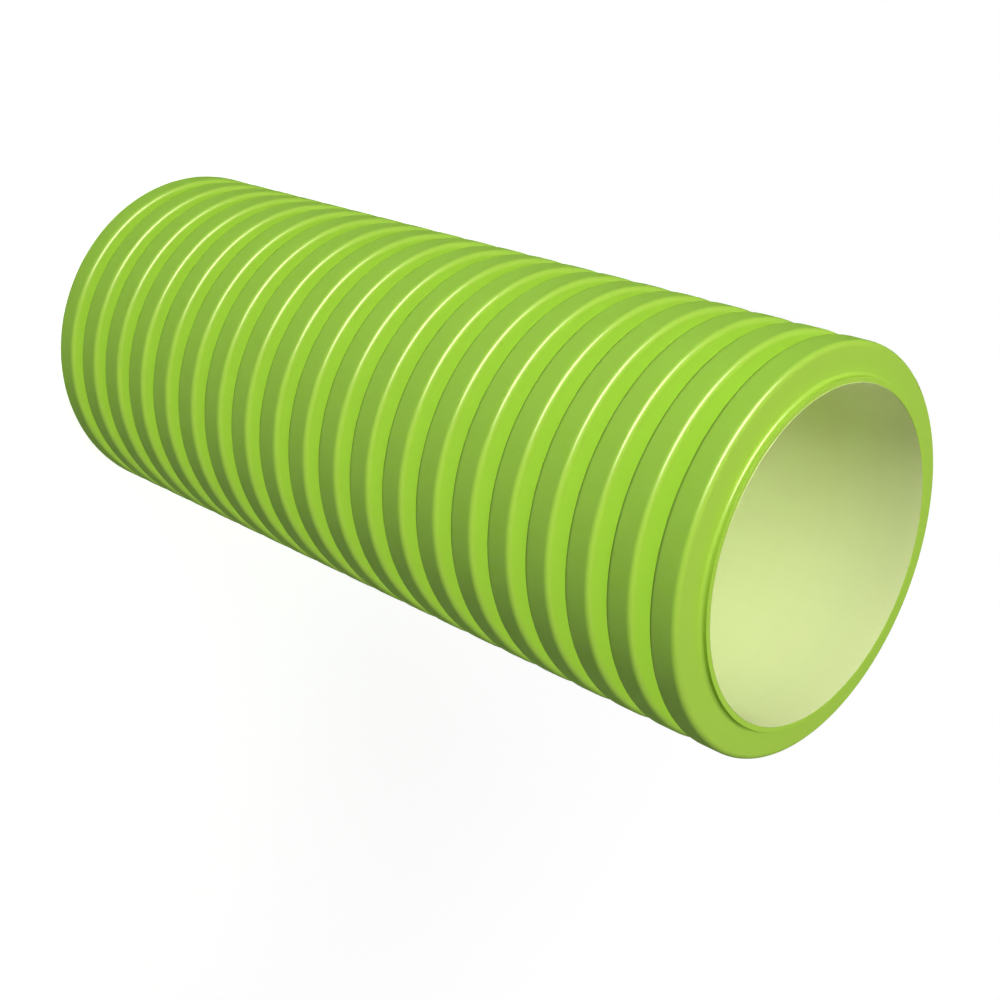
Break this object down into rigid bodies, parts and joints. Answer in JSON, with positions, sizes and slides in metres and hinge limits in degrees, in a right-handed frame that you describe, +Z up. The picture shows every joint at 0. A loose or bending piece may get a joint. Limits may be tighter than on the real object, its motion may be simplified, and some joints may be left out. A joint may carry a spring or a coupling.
{
  "type": "round air duct",
  "caption": "Short length of round double-wall ventilation duct with ring ribs outside, a smooth liner inside and square-cut ends.",
  "frame": {"origin": "centre of the lower cut end, on the duct's axis", "axes": "+Z up along the duct's axis, towards the end that faces the camera in the picture; +X and +Y are equal, because the duct is round"},
  "size_m": [0.075, 0.075, 0.1837],
  "materials": {
    "green_wall": "satin moulded polyethylene, apple green",
    "pale_liner": "satin smooth polyethylene, pale green"
  },
  "bodies": {
    "root": {"corrugated_wall": "green_wall", "smooth_liner": "pale_liner"}
  },
  "joints": []
}
